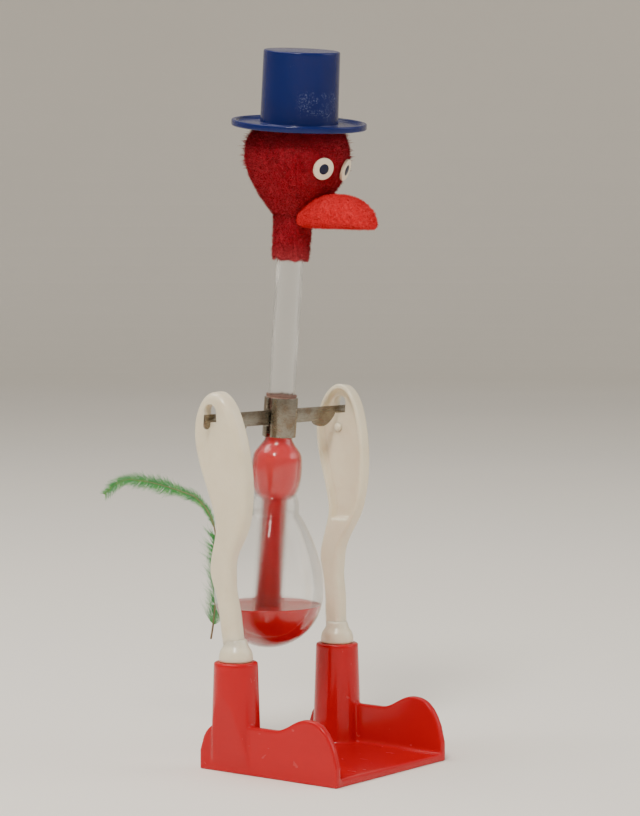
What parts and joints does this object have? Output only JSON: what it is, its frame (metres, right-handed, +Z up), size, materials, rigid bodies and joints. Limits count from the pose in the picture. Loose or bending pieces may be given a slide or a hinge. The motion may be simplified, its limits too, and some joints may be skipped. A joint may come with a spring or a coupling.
{
  "type": "drinking bird",
  "caption": "Glass drinking bird in a top hat, which tips on a sheet metal clip between plastic legs that stand on a shoe-shaped base.",
  "frame": {"origin": "on the table, midway between the feet and straight under the tilt axis", "axes": "+Z up, the bird faces -Y, the tilt axis runs along X"},
  "size_m": [0.0794, 0.1271, 0.2393],
  "materials": {
    "red_base": "glossy red moulding",
    "ivory_leg": "glossy ivory moulding, a little translucent",
    "glass": "clear thin blown glass",
    "red_liquid": null,
    "dark_red_flock": "dark red flocked felt",
    "bright_red_flock": "bright orange-red flocked felt",
    "eye_cream": "flat cream disc",
    "pupil_navy": "dark navy dot",
    "hat_blue": "glossy royal blue moulding with a few pale scuffs",
    "nickel_sheet": "nickelled sheet steel",
    "liner_brown": "brown liner with a frayed edge",
    "quill_brown": "brown quill",
    "feather_green": "dyed green barbs",
    "clear_glue": "dried clear glue"
  },
  "bodies": {
    "stand": {"foot_base": "red_base", "leg_right": "ivory_leg", "leg_left": "ivory_leg"},
    "bird": {"neck_tube": "glass", "lower_bulb": "glass", "head_bulb": "glass", "sealed_tip": "glass", "liquid_column": "red_liquid", "head_felt": "dark_red_flock", "neck_sleeve": "dark_red_flock", "beak": "bright_red_flock", "eye_right": "eye_cream", "eye_left": "eye_cream", "pupil_right": "pupil_navy", "pupil_left": "pupil_navy", "top_hat": "hat_blue", "clip_front": "nickel_sheet", "clip_back": "nickel_sheet", "clip_liner": "liner_brown", "feather_shaft": "quill_brown", "feather_plume": "feather_green", "feather_down": "feather_green", "feather_glue": "clear_glue"},
    "liquid": {"liquid_pool": "red_liquid"}
  },
  "joints": [
    {"name": "tilt", "type": "hinge", "parent": "stand", "child": "bird", "pos_m": [0, 0, 0.116], "axis": [1, 0, 0], "range_deg": [-18, 60]},
    {"name": "liquid_level", "type": "hinge", "parent": "bird", "child": "liquid", "pos_m": [0, 0.00505, 0.05591], "axis": [1, 0, 0], "range_deg": [-60, 18], "deforming": ["liquid_pool"]}
  ],
  "couplings": [
    {"joint": "liquid_level", "follows": "tilt", "ratio": -1}
  ]
}
